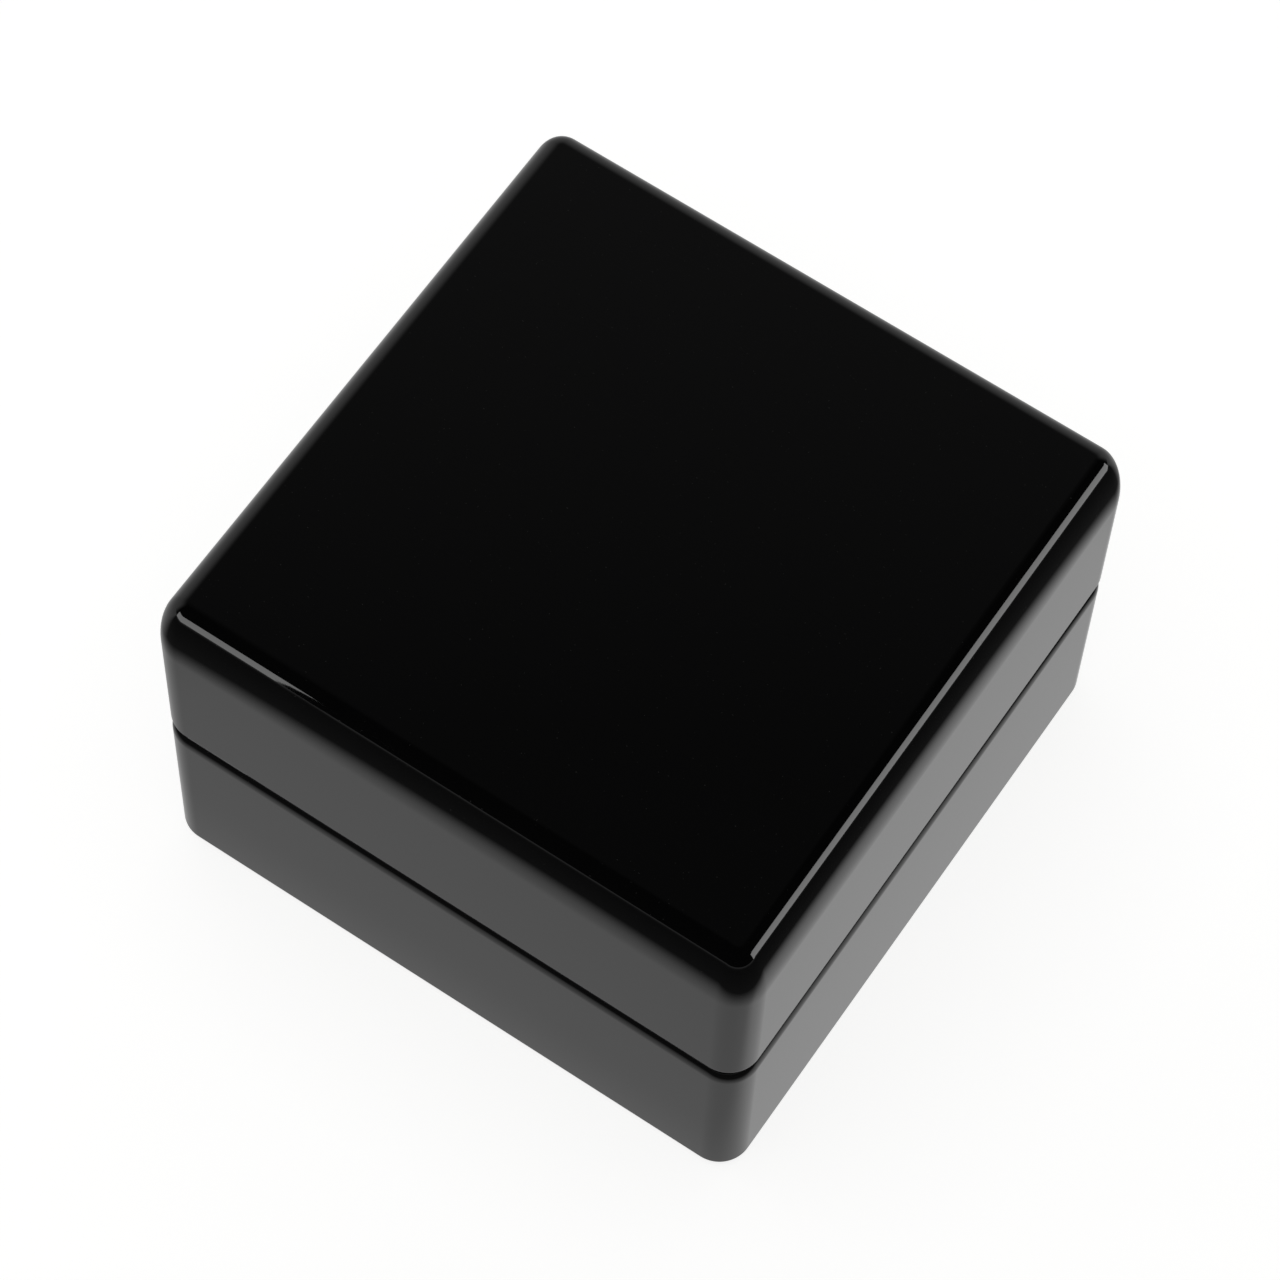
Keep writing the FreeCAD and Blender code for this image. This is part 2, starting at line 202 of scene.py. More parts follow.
def plan_stations(half, corner, steps, lead):
    """Points and outward normals anticlockwise round a rounded rectangle.

    Each corner is a quarter circle, centre + radius * (cos a, sin a), with one more station
    a short lead along the straight side before it and after it.
    """
    start = np.arange(4)[:, None] * (np.pi / 2)
    angle = start + np.linspace(0, np.pi / 2, steps + 1)
    normal = np.stack([np.cos(angle), np.sin(angle)], -1)
    tangent = np.stack([-np.sin(angle), np.cos(angle)], -1)
    middle = start + np.pi / 4
    sign = np.sign(np.concatenate([np.cos(middle), np.sin(middle)], 1))
    points = (sign * (half - corner))[:, None] + corner * normal
    before = points[:, :1] - lead * tangent[:, :1]
    after = points[:, -1:] + lead * tangent[:, -1:]
    points = np.concatenate([before, points, after], 1).reshape(-1, 2)
    normals = np.concatenate([normal[:, :1], normal, normal[:, -1:]], 1).reshape(-1, 2)
    return points, normals


def inset_rings(stations, half, insets):
    """The plan's stations moved inwards by each inset: point - inset * normal, held inside
    the rectangle that is smaller by the same inset, so that corners close as they shrink."""
    points, normals = stations
    insets = np.asarray(insets)[:, None, None]
    limit = half - insets
    return np.clip(points - insets * normals, -limit, limit)


def arc(inset, height, radius, start, end, steps, rise=None):
    """Profile points on a circle, (inset - radius cos a, height + radius sin a), or on an
    oval when its upright radius, the rise, is different."""
    rise = radius if rise is None else rise
    angle = np.radians(np.linspace(start, end, steps + 1))
    return np.stack([inset - radius * np.cos(angle), height + rise * np.sin(angle)], 1)


def straight(start, end, steps=1):
    """Profile points on a line, both ends included."""
    share = np.linspace(0, 1, steps + 1)[:, None]
    return np.array(start) * (1 - share) + np.array(end) * share


def carried(stations, half, centre, profile):
    """A profile of (inset, height) carried round a plan: one ring of points for each row."""
    rings = inset_rings(stations, half, profile[:, 0])
    heights = np.broadcast_to(profile[:, 1][:, None, None], rings.shape[:2] + (1,))
    return np.concatenate([rings + np.asarray(centre)[:2], heights], 2)


def ring_faces(rings, stations):
    """Quads between neighbouring rings, closed round the plan, facing out."""
    ring = np.arange(rings - 1)[:, None] * stations
    column = np.arange(stations)[None, :]
    following = (column + 1) % stations
    quads = [ring + column, ring + following, ring + stations + following,
             ring + stations + column]
    return np.stack(quads, -1).reshape(-1, 4)


def new_piece(name, rings, closed_section=False):
    """A mesh object from rings of points, with its doubled points merged."""
    count, stations = rings.shape[:2]
    faces = ring_faces(count + closed_section, stations) % (count * stations)
    mesh = bpy.data.meshes.new(name)
    mesh.from_pydata(rings.reshape(-1, 3).tolist(), [], faces.tolist())
    piece = bpy.data.objects.new(name, mesh)
    bpy.context.collection.objects.link(piece)
    merge_doubles(mesh)
    smooth_by_angle(mesh)
    return piece


def merge_doubles(mesh, distance=1e-6):
    """Closes the seams and poles of a mesh and drops the faces that shrank to nothing."""
    work = bmesh.new()
    work.from_mesh(mesh)
    bmesh.ops.remove_doubles(work, verts=work.verts, dist=distance)
    bmesh.ops.dissolve_degenerate(work, edges=work.edges, dist=distance)
    work.to_mesh(mesh)
    work.free()


def smooth_by_angle(mesh, degrees=28):
    """Smooth shading, split where the surface turns sharply."""
    mesh.polygons.foreach_set("use_smooth", np.ones(len(mesh.polygons), bool))
    mesh.set_sharp_from_angle(angle=math.radians(degrees))


def block_rings(low, high, corner=0.0, top=0.0, bottom=0.0, steps=6):
    """An upright block with rounded corners and edges, from its underside to its top.

    The profile runs from the middle of the underside, round the bottom edge, up the side,
    round the top edge and back to the middle, and is carried round the plan.
    """
    low, high = np.array(low), np.array(high)
    half = (high[:2] - low[:2]) / 2
    middle = half.min()
    lead = min(0.2 * MM, middle * 0.05)
    stations = plan_stations(half, corner, steps, lead)
    rows = [[(middle, low[2])], [(bottom + lead, low[2])]]
    rows.append(arc(bottom, low[2] + bottom, bottom, -90, 0, steps))
    rows.append([(0, low[2] + bottom + lead), (0, high[2] - top - lead)])
    rows.append(arc(top, high[2] - top, top, 0, 90, steps))
    rows += [[(top + lead, high[2])], [(middle, high[2])]]
    return carried(stations, half, (low + high) / 2, np.concatenate(rows))


def lying_cylinder_rings(radius, x_range, steps=16):
    """A round bar along X on the hinge axis: an upright one with its axes passed on."""
    low = (AXIS_Y - radius, AXIS_Z - radius, x_range[0])
    high = (AXIS_Y + radius, AXIS_Z + radius, x_range[1])
    rings = block_rings(low, high, corner=radius, steps=steps)
    return rings[..., [2, 0, 1]]


def cut_away(piece, cutters):
    """Takes each cutter's solid out of a piece, deletes the cutter, and lets large faces
    lead the shading over the slivers left round the cuts."""
    for cutter in cutters:
        cut = piece.modifiers.new("cut", "BOOLEAN")
        cut.operation = "DIFFERENCE"
        cut.solver = "EXACT"
        cut.object = cutter
    settle_modifiers(piece)
    for cutter in cutters:
        bpy.data.objects.remove(cutter)
    smooth_by_angle(piece.data)
    steady = piece.modifiers.new("steady", "WEIGHTED_NORMAL")
    steady.mode = "FACE_AREA"
    steady.keep_sharp = True
    settle_modifiers(piece)


def settle_modifiers(piece):
    """Makes the result of a piece's modifiers its own mesh."""
    graph = bpy.context.evaluated_depsgraph_get()
    mesh = bpy.data.meshes.new_from_object(piece.evaluated_get(graph))
    piece.modifiers.clear()
    old = piece.data
    piece.data = mesh
    bpy.data.meshes.remove(old)
    mesh.name = piece.name


def mesh_points(mesh):
    """A mesh's points as an array."""
    flat = np.empty(len(mesh.vertices) * 3, np.float32)
    mesh.vertices.foreach_get("co", flat)
    return flat.reshape(-1, 3).astype(float)


def set_mesh_points(mesh, points):
    """Puts an array of points back into a mesh."""
    mesh.vertices.foreach_set("co", points.astype(np.float32).ravel())
    mesh.update()


# ---------------------------------------------------------------- shader words

class Value:
    """A shader number with Python's arithmetic: each operation adds a Math node."""

    def __init__(self, graph, socket):
        self.graph = graph
        self.socket = socket

    def joined(self, operation, first, second):
        node = self.graph.add("ShaderNodeMath", {"operation": operation}, {0: first, 1: second})
        return Value(self.graph, node.outputs[0])

    def __add__(self, other):
        return self.joined("ADD", self, other)

    def __radd__(self, other):
        return self.joined("ADD", other, self)

    def __sub__(self, other):
        return self.joined("SUBTRACT", self, other)

    def __rsub__(self, other):
        return self.joined("SUBTRACT", other, self)

    def __mul__(self, other):
        return self.joined("MULTIPLY", self, other)

    def __rmul__(self, other):
        return self.joined("MULTIPLY", other, self)

    def power(self, other):
        return self.joined("POWER", self, other)


class Graph:
    """A node tree with one method that adds any node."""

    def __init__(self, tree):
        self.tree = tree
        tree.nodes.clear()

    def add(self, kind, settings=None, inputs=None):
        """Adds a node, sets it up, and then sets or links its sockets."""
        node = self.tree.nodes.new(kind)
        for name, value in (settings or {}).items():
            if name == "stops":
                self.set_stops(node.color_ramp, value)
            else:
                setattr(node, name, value)
        for name, value in (inputs or {}).items():
            socket = value.socket if isinstance(value, Value) else value
            if isinstance(socket, bpy.types.NodeSocket):
                self.tree.links.new(socket, node.inputs[name])
            else:
                node.inputs[name].default_value = socket
        return node

    @staticmethod
    def set_stops(ramp, stops):
        """Gives a ramp its grey stops of (position, level)."""
        while len(ramp.elements) < len(stops):
            ramp.elements.new(0.5)
        for element, (position, level) in zip(ramp.elements, stops):
            element.position = position
            element.color = (level, level, level, 1)

    def place(self):
        """Object coordinates."""
        return self.add("ShaderNodeTexCoord").outputs["Object"]

    def noise(self, size, detail=2.0, roughness=0.5, stretch=(1, 1, 1)):
        """Noise from 0 to 1 whose features are about `size` metres wide."""
        scale = tuple(part / size for part in stretch)
        mapped = self.add("ShaderNodeMapping", {}, {"Vector": self.place(), "Scale": scale})
        node = self.add("ShaderNodeTexNoise", {}, {
            "Vector": mapped.outputs[0], "Scale": 1.0, "Detail": detail, "Roughness": roughness})
        return Value(self, node.outputs["Fac"])

    def ramp(self, value, stops):
        """A value passed through grey stops."""
        node = self.add("ShaderNodeValToRGB", {"stops": stops}, {"Fac": value})
        return Value(self, node.outputs["Color"])

    def between(self, value, start, end):
        """0 up to `start`, 1 from `end` on, and a smooth step from one to the other."""
        node = self.add("ShaderNodeMapRange", {"interpolation_type": "SMOOTHSTEP"},
                        {"Value": value, "From Min": start, "From Max": end})
        return Value(self, node.outputs[0])

    def blend(self, factor, first, second):
        """A colour between two others."""
        node = self.add("ShaderNodeMix", {"data_type": "RGBA"}, {0: factor, 6: first, 7: second})
        return node.outputs[2]

    def bump(self, height, distance, strength=1.0, under=None):
        """A normal from a height, on top of another bump if one is given."""
        inputs = {"Height": height, "Distance": distance, "Strength": strength}
        if under is not None:
            inputs["Normal"] = under
        return self.add("ShaderNodeBump", {}, inputs).outputs[0]

    def glow(self, level):
        """A surface that only gives light."""
        emission = self.add("ShaderNodeEmission", {}, {"Color": level})
        self.add("ShaderNodeOutputMaterial", {}, {"Surface": emission.outputs[0]})

    def finish(self, inputs):
        """The surface shader and the output."""
        shader = self.add("ShaderNodeBsdfPrincipled", {}, inputs)
        self.add("ShaderNodeOutputMaterial", {}, {"Surface": shader.outputs[0]})


def tone(colour, share=1.0):
    """A colour with its strength scaled, as a socket takes it."""
    return tuple(part * share for part in colour) + (1.0,)


def new_material(name):
    """An empty material and its graph."""
    material = bpy.data.materials.new(name)
    material.use_nodes = True
    return material, Graph(material.node_tree)


# ---------------------------------------------------------------- finishes

def black_lacquer():
    """Polished black lacquer: faint orange peel, hazy patches, hair scratches and dust."""
    colour = bpy.context.scene.box_finish.lacquer
    material, graph = new_material("black_lacquer")
    haze = graph.noise(22 * MM, detail=3)
    scratches = graph.ramp(graph.noise(0.5 * MM, detail=1, stretch=(0.03, 1, 1)),
                           [(0.66, 0), (0.72, 1)])
    dust = graph.ramp(graph.noise(0.3 * MM, detail=0), [(0.84, 0), (0.88, 1)])
    roughness = 0.010 + haze * 0.020 + scratches * 0.03 + dust * 0.2
    peel = graph.bump(graph.noise(3.2 * MM, detail=1), 0.0015 * MM)
    graph.finish({
        "Base Color": graph.blend(dust * 0.2, tone(colour), (0.10, 0.098, 0.095, 1)),
        "Roughness": roughness, "IOR": 1.5,
        "Normal": graph.bump(scratches, 0.0006 * MM, under=peel)})
    return material


def ivory_velvet():
    """Short-pile velvet: brushed patches, pile grain and the sheen of standing fibres; the
    patches, streaks and grain also lighten and darken the colour as painted sheen of the pile,
    mixed with its random tone.
    """
    colour = bpy.context.scene.box_finish.velvet
    material, graph = new_material("ivory_velvet")
    brushed = graph.noise(14 * MM, detail=3, roughness=0.6)
    streaks = graph.noise(1.6 * MM, detail=2, stretch=(1, 0.25, 1))
    pile = graph.noise(0.22 * MM, detail=2, roughness=0.7)
    # Painted sheen: the colour is lighter and darker where the lie of the pile would catch the
    # light, mixed with the pile's random tone.
    painted_sheen_and_tone = graph.ramp(brushed * 0.55 + streaks * 0.2 + pile * 0.25, [(0.3, 0), (0.7, 1)])
    graph.finish({
        "Base Color": graph.blend(painted_sheen_and_tone, tone(colour, 0.90), tone(colour, 1.05)),
        "Roughness": 0.82 + pile * 0.16,
        "Specular IOR Level": 0.2, "Sheen Weight": 0.55, "Sheen Roughness": 0.35,
        "Normal": graph.bump(pile, 0.06 * MM, 0.9,
                             under=graph.bump(brushed, 0.2 * MM, 0.4))})
    return material


def black_felt():
    """Pressed felt: matted fibres in every direction and a little lint."""
    colour = bpy.context.scene.box_finish.felt
    material, graph = new_material("black_felt")
    along = graph.noise(0.6 * MM, detail=4, roughness=0.7, stretch=(1, 0.2, 1))
    across = graph.noise(0.6 * MM, detail=4, roughness=0.7, stretch=(0.2, 1, 1))
    fibres = along * across
    lint = graph.ramp(graph.noise(0.9 * MM, detail=1), [(0.72, 0), (0.78, 1)])
    graph.finish({
        "Base Color": graph.blend(lint * 0.25 + fibres * 0.3, tone(colour),
                                  tone(colour, 5.0)),
        "Roughness": 0.88 + fibres * 0.2, "Specular IOR Level": 0.15,
        "Sheen Weight": 0.25, "Sheen Roughness": 0.5,
        "Normal": graph.bump(fibres, 0.12 * MM)})
    return material


def plated_metal(name, colour, gloss):
    """Bright plating: drawn grain along the bar, handling haze and small tarnished spots."""
    material, graph = new_material(name)
    grain = graph.noise(0.12 * MM, detail=2, stretch=(0.05, 1, 1))
    haze = graph.noise(2.5 * MM, detail=3)
    tarnish = graph.ramp(graph.noise(1.1 * MM, detail=2), [(0.62, 0), (0.75, 1)])
    graph.finish({
        "Base Color": graph.blend(tarnish * 0.5, tone(colour), tone(colour, 0.62)),
        "Metallic": 1.0,
        "Roughness": gloss + grain * 0.10 + haze * 0.10 + tarnish * 0.12,
        "Normal": graph.bump(grain, 0.004 * MM)})
    return material


def dress(piece, material, body, nodes):
    """Gives a new piece its finish and its body, and hides the nodes that it stands for."""
    piece.data.materials.clear()
    piece.data.materials.append(material)
    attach(piece, body)
    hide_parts(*nodes)


FINISHES = {}


def finish_of(name, maker, *details):
    """A finish made once and shared by its pieces."""
    if name not in FINISHES:
        FINISHES[name] = maker(*details)
    return FINISHES[name]


def velvet():
    """The lining's finish."""
    return finish_of("ivory_velvet", ivory_velvet)


def refinish(node, material):
    """A new finish on a node that keeps its own shape."""
    piece = frame["nodes"][node]
    piece.data.materials.clear()
    piece.data.materials.append(material)


# ---------------------------------------------------------------- shells

LEAD = 0.25 * MM             # from a rounded edge to the first row on the flat beside it
SUPPORT = 6 * MM             # from a rim to the row that keeps the wall flat above it
CORNER_STEPS = 40
BEVEL_ZONE = 2.6 * MM        # the hinge bevel crosses a rim within this inset


def groove_height(y):
    """Distance from the seam plane to the bevel behind the hinge axis: it grows with the
    tangent of half the opening angle, and is nothing in front of the axis."""
    return np.maximum(y - AXIS_Y, 0) * math.tan(OPENING_ANGLE / 2)


def rim_flat(start, end, height):
    """The flat of a rim, with close rows where the bevel may cross it."""
    crossing = max(BEVEL_ZONE, start + 0.5 * MM)
    rows = straight((start, height), (crossing, height), 24)
    return np.concatenate([rows, [(end, height)]])


def base_shell_rings(sizes):
    """The base: underside, bottom edge, wall, rounded rim, inner wall and floor, carried
    round the plan; behind the hinge axis no point is above the bevel."""
    corner, rim, bottom = sizes.corner, sizes.base_rim_round, sizes.bottom_round
    ease, wall, lead = sizes.inner_ease, BASE_WALL, LEAD
    low, floor, top = BASE_LOW.z, BASE_FLOOR.z, BASE_RIM_Z
    profile = np.concatenate([
        [(HALF.min(), low), (bottom + lead, low)],
        arc(bottom, low + bottom, bottom, -90, 0, 8),
        [(0, low + bottom + lead), (0, top - SUPPORT), (0, top - rim - lead)],
        arc(rim, top - rim, rim, 0, 90, 32),
        rim_flat(rim + lead, wall - ease - lead, top),
        arc(wall - ease, top - ease, ease, 90, 180, 5),
        [(wall, top - ease - lead), (wall, floor), (HALF.min(), floor)]])
    stations = plan_stations(HALF, corner, CORNER_STEPS, lead)
    rings = carried(stations, HALF, (0, 0), profile)
    rings[..., 2] = np.minimum(rings[..., 2], AXIS_Z - groove_height(rings[..., 1]))
    return rings


def lid_shell_rings(sizes):
    """The lid: ceiling, inner wall, rim, wall, rounded top edge and top, carried round the
    plan; behind the hinge axis no point is below the bevel."""
    corner, rim, reach, drop = sizes.corner, sizes.lid_rim_round, sizes.top_reach, sizes.top_drop
    ease, wall, lead = sizes.inner_ease, LID_WALL, LEAD
    low, ceiling, top = LID_RIM_Z, LID_CEILING.z, LID_TOP.z
    profile = np.concatenate([
        [(HALF.min(), ceiling), (wall, ceiling), (wall, low + ease + lead)],
        arc(wall - ease, low + ease, ease, -180, -90, 5),
        rim_flat(rim + lead, wall - ease - lead, low)[::-1],
        arc(rim, low + rim, rim, -90, 0, 6),
        [(0, low + rim + lead), (0, low + SUPPORT), (0, top - drop - lead)],
        arc(reach, top - drop, reach, 0, 90, 64, rise=drop),
        [(reach + lead, top), (HALF.min(), top)]])
    stations = plan_stations(HALF, corner, CORNER_STEPS, lead)
    rings = carried(stations, HALF, (0, 0), profile)
    rings[..., 2] = np.maximum(rings[..., 2], AXIS_Z + groove_height(rings[..., 1]))
    return rings


def rim_cutters(rim_z, outwards, leaf_suffix):
    """Solids of the hinge mortises and barrel recesses of one rim. The magnets need no
    pocket: they stand a little proud of the rim that holds them."""
    play = 0.1 * MM
    clear = 1.0 * MM
    cutters = []
    for side in HINGE_SIDES:
        low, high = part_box(f"hinge_{side}_{leaf_suffix}_leaf")
        barrel = high.y - AXIS_Y
        thickness = 0.8 * MM
        z_range = sorted((rim_z + outwards * clear, rim_z - outwards * thickness))
        mortise = block_rings((low.x - play, low.y - play, z_range[0]),
                              (high.x + play, AXIS_Y, z_range[1]), steps=1)
        recess = lying_cylinder_rings(barrel + 0.25 * MM, (low.x - play, high.x + play))
        cutters += [new_piece("mortise", mortise), new_piece("recess", recess)]
    return cutters


class BOX_OT_lacquered_shells(bpy.types.Operator):
    """Builds the two lacquered halves as seamless shells"""
    bl_idname = "box.lacquered_shells"
    bl_label = "Lacquered shells"

    def execute(self, context):
        sizes = context.scene.box_shell
        lacquer = finish_of("black_lacquer", black_lacquer)
        base = new_piece("base_shell", base_shell_rings(sizes))
        cut_away(base, rim_cutters(BASE_RIM_Z, 1, "base"))
        dress(base, lacquer, "base",
              ["base_bottom_panel"] + [f"base_{side}_wall" for side in WALL_SIDES])
        lid = new_piece("lid_shell", lid_shell_rings(sizes))
        cut_away(lid, rim_cutters(LID_RIM_Z, -1, "lid"))
        dress(lid, lacquer, "lid",
              ["lid_top_panel"] + [f"lid_{side}_wall" for side in WALL_SIDES])
        return {"FINISHED"}


# ---------------------------------------------------------------- linings

class BOX_OT_wall_linings(bpy.types.Operator):
    """Wraps the strips on the walls of both halves in velvet"""
    bl_idname = "box.wall_linings"
    bl_label = "Wall linings"

    def execute(self, context):
        edge = context.scene.box_lining.edge
        for body in ("base", "lid"):
            for side in WALL_SIDES:
                node = f"{body}_liner_{side}"
                low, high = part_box(node)
                strip = new_piece(f"{node}_velvet",
                                  block_rings(low, high, edge, edge, edge, steps=6))
                dress(strip, velvet(), body, [node])
        refinish("floor_lining", velvet())
        refinish("lid_pad_board", velvet())
        return {"FINISHED"}


def insert_rings(sizes):
    """The foam insert: its outer side, a top that swells as half a sine wave between two
    soft edges, and the side of its pocket, closed underneath."""
    low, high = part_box("insert_block")
    pocket_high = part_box("cushion")[1]
    play = 0.5 * MM
    edge, crown = sizes.insert_edge, sizes.insert_crown
    half = np.array([high.x, high.y])
    pocket_half = np.array([pocket_high.x, pocket_high.y]) + play
    edge_top = high.z - crown
    lead = 0.3 * MM
    outer = plan_stations(half, edge, 8, lead)
    inner = plan_stations(pocket_half, edge, 8, lead)
    outer_side = np.concatenate([[(0, low.z)], arc(edge, edge_top - edge, edge, 0, 90, 8)])
    outside = carried(outer, half, (0, 0), outer_side)
    pocket_side = outer_side[::-1] * (-1, 1)
    inside_points = inner[0] - pocket_side[:, 0][:, None, None] * inner[1]
    heights = np.broadcast_to(pocket_side[:, 1][:, None, None], inside_points.shape[:2] + (1,))
    inside = np.concatenate([inside_points, heights], 2)
    share = np.linspace(0, 1, 12)[1:-1, None, None]
    top = outside[-1] * (1 - share) + inside[0] * share
    top[..., 2] += crown * np.sin(np.pi * share[..., 0])
    return np.concatenate([outside, top, inside])


class BOX_OT_foam_insert(bpy.types.Operator):
    """Builds the velvet-wrapped foam insert with its pocket"""
    bl_idname = "box.foam_insert"
    bl_label = "Foam insert"

    def execute(self, context):
        rings = insert_rings(context.scene.box_lining)
        insert = new_piece("insert_velvet", rings, closed_section=True)
        dress(insert, velvet(), "base", ["insert_block"])
        return {"FINISHED"}


class BOX_OT_felt_foot(bpy.types.Operator):
    """Cuts the felt sheet under the base"""
    bl_idname = "box.felt_foot"
    bl_label = "Felt foot"

    def execute(self, context):
        edge = context.scene.box_lining.felt_edge
        low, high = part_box("felt_pad")
        rings = block_rings(low, high, 3.0 * MM, edge, edge, steps=8)
        felt = new_piece("felt_sheet", rings)
        dress(felt, finish_of("black_felt", black_felt), "base", ["felt_pad"])
        return {"FINISHED"}


# ---------------------------------------------------------------- padding

CLOTH_SCALE = 10.0           # the cloth is simulated at ten times its size
CLOTH_FRAMES = 20            # how long the pressure works


def swollen(piece, voxel, swell, pressure):
    """Blows a closed piece up a little with simulated cloth, and makes it its mesh."""
    piece.data.transform(Matrix.Scale(CLOTH_SCALE, 4))
    remesh = piece.modifiers.new("remesh", "REMESH")
    remesh.mode = "VOXEL"
    remesh.voxel_size = voxel * CLOTH_SCALE
    settle_modifiers(piece)
    start = mesh_points(piece.data)
    cloth = piece.modifiers.new("cloth", "CLOTH")
    cloth.settings.use_pressure = True
    cloth.settings.uniform_pressure_force = pressure
    cloth.settings.effector_weights.gravity = 0
    for number in range(1, CLOTH_FRAMES + 1):
        bpy.context.scene.frame_set(number)
    settle_modifiers(piece)
    bpy.context.scene.frame_set(1)
    move = mesh_points(piece.data) - start
    length = np.linalg.norm(move, axis=1, keepdims=True)
    move *= np.minimum(1, swell * CLOTH_SCALE / np.maximum(length, 1e-9))
    set_mesh_points(piece.data, (start + move) / CLOTH_SCALE)
    finer = piece.modifiers.new("finer", "SUBSURF")
    finer.levels = finer.render_levels = 1
    settle_modifiers(piece)


def kept_inside(points, low, high, play):
    """Points held inside a node's box, less a little play."""
    return np.clip(points, np.array(low) + play, np.array(high) - play)


def drawn_in(points, distance, depth, width, centre):
    """Points near a seam pulled towards the middle: the pull is a bell of the distance."""
    pull = depth * np.exp(-(distance / width) ** 2)[:, None]
    inwards = centre - points
    inwards[:, 2] = 0
    inwards /= np.maximum(np.linalg.norm(inwards, axis=1, keepdims=True), 1e-9)
    return points + inwards * pull


def smooth_all(mesh):
    """Smooth shading everywhere."""
    mesh.polygons.foreach_set("use_smooth", np.ones(len(mesh.polygons), bool))
    mesh.update()


class BOX_OT_cushion(bpy.types.Operator):
    """Fills the removable cushion and sews its side seam"""
    bl_idname = "box.cushion"
    bl_label = "Cushion"

    def execute(self, context):
        sizes = context.scene.box_padding
        low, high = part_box("cushion")
        slack = Vector((2.4, 2.4, 1.0)) * MM
        edge = 9 * MM
        seam_share, seam_width = 0.36, 0.9 * MM
        rings = block_rings(low + slack, high - slack, edge, edge, edge, steps=8)
        cushion = new_piece("cushion_velvet", rings)
        swollen(cushion, 2.0 * MM, sizes.cushion_swell, sizes.pressure)
        points = kept_inside(mesh_points(cushion.data), low, high, 0.15 * MM)
        middle = np.array((low + high) / 2)
        seam_z = high.z - seam_share * (high.z - low.z)
        distance = points[:, 2] - seam_z
        points = drawn_in(points, distance, sizes.seam_depth, seam_width, middle)
        set_mesh_points(cushion.data, points)
        smooth_all(cushion.data)
        dress(cushion, velvet(), "base", ["cushion"])
        return {"FINISHED"}


class BOX_OT_lid_pad(bpy.types.Operator):
    """Fills the padded panel inside the lid"""
    bl_idname = "box.lid_pad"
    bl_label = "Lid pad"

    def execute(self, context):
        sizes = context.scene.box_padding
        low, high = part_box("lid_pad")
        slack = Vector((0.8, 0.8, 0.5)) * MM
        corner, board_edge, face_edge = 3 * MM, 1.0 * MM, 1.9 * MM
        rings = block_rings(low + slack, high - slack, corner, board_edge, face_edge, steps=6)
        pad = new_piece("lid_pad_velvet", rings)
        swollen(pad, 1.0 * MM, sizes.pad_swell, sizes.pressure)
        points = kept_inside(mesh_points(pad.data), low, high, 0.05 * MM)
        set_mesh_points(pad.data, points)
        smooth_all(pad.data)
        dress(pad, velvet(), "lid", ["lid_pad"])
        return {"FINISHED"}


# ---------------------------------------------------------------- hardware

class BOX_OT_hardware(bpy.types.Operator):
    """Plates the hinges, pins, screws and magnets"""
    bl_idname = "box.hardware"
    bl_label = "Hardware"

    def execute(self, context):
        colours = context.scene.box_finish
        brass = finish_of("plated_brass", plated_metal, "plated_brass", colours.brass, 0.14)
        nickel = finish_of("bright_nickel", plated_metal, "bright_nickel", colours.nickel, 0.10)
        for side in HINGE_SIDES:
            for part in ("base_leaf", "lid_leaf", "pin"):
                refinish(f"hinge_{side}_{part}", brass)
        for half in ("base", "lid"):
            refinish(f"{half}_hinge_screws", brass)
            refinish(f"{half}_magnets", nickel)
        return {"FINISHED"}


# ---------------------------------------------------------------- stage

FLOOR_REACH = 12.0           # from the box to the edge of the floor
CARD_REACH = 11.0            # from the box to the edge of the ground card
CARD_HEIGHT = 0.3 * MM       # the ground card lies just over the floor
SOFTBOX_DISTANCE = 1.5
NO_FADE = (9.0, 9.1)         # past the end of any softbox
DIAGONAL = 0.707             # share of X and of Y along the line to the back left


def stage_sheet(name, corners, material):
    """A stage piece of one face, given anticlockwise as its lit side sees it."""
    mesh = bpy.data.meshes.new(name)
    mesh.from_pydata(corners, [], [(0, 1, 2, 3)])
    mesh.materials.append(material)
    sheet = bpy.data.objects.new(name, mesh)
    bpy.context.collection.objects.link(sheet)
    return sheet


def level_sheet(name, reach, height, material):
    """A level square that reaches as far from the origin on every side."""
    corners = [(-reach, -reach, height), (reach, -reach, height),
               (reach, reach, height), (-reach, reach, height)]
    return stage_sheet(name, corners, material)


def lit_table(glow):
    """White acrylic, lit from below."""
    material, graph = new_material("lit_table")
    graph.finish({"Base Color": (0.45, 0.45, 0.45, 1), "Roughness": 0.9,
                  "Specular IOR Level": 0.0,
                  "Emission Color": (1, 1, 0.995, 1), "Emission Strength": glow})
    return material


def ground_reflection():
    """A painted reflection of the ground, a glowing sheet that only the lacquer sees: pale close
    round the box, most of all on the right, dark past that towards the front and the right, and
    grey towards the back left."""
    material, graph = new_material("ground_reflection")
    split = graph.add("ShaderNodeSeparateXYZ", {}, {0: graph.place()})
    x, y = (Value(graph, socket) for socket in split.outputs[:2])
    reach = (x * x + y * y).power(0.5)
    beside = graph.between(y, -62 * MM, -46 * MM) * graph.between(x, -80 * MM, -40 * MM)
    near = (0.45 + beside * 0.19) * (1 - graph.between(reach, 98 * MM, 150 * MM))
    behind = graph.between((y - x) * DIAGONAL, 0.0, 60 * MM) * 0.48
    far = 0.05 + graph.between(reach, 0.5, 2.5) * 0.30
    level = near.joined("MAXIMUM", near, behind.joined("MAXIMUM", behind, far))
    graph.glow(level)
    return material


def softbox_cloth(strength, fade):
    """A lit cloth whose light fades to nothing between the two positions along X."""
    material, graph = new_material("softbox_cloth")
    split = graph.add("ShaderNodeSeparateXYZ", {}, {0: graph.place()})
    across = Value(graph, split.outputs[0])
    graph.glow((1 - graph.between(across, *fade)) * strength)
    return material


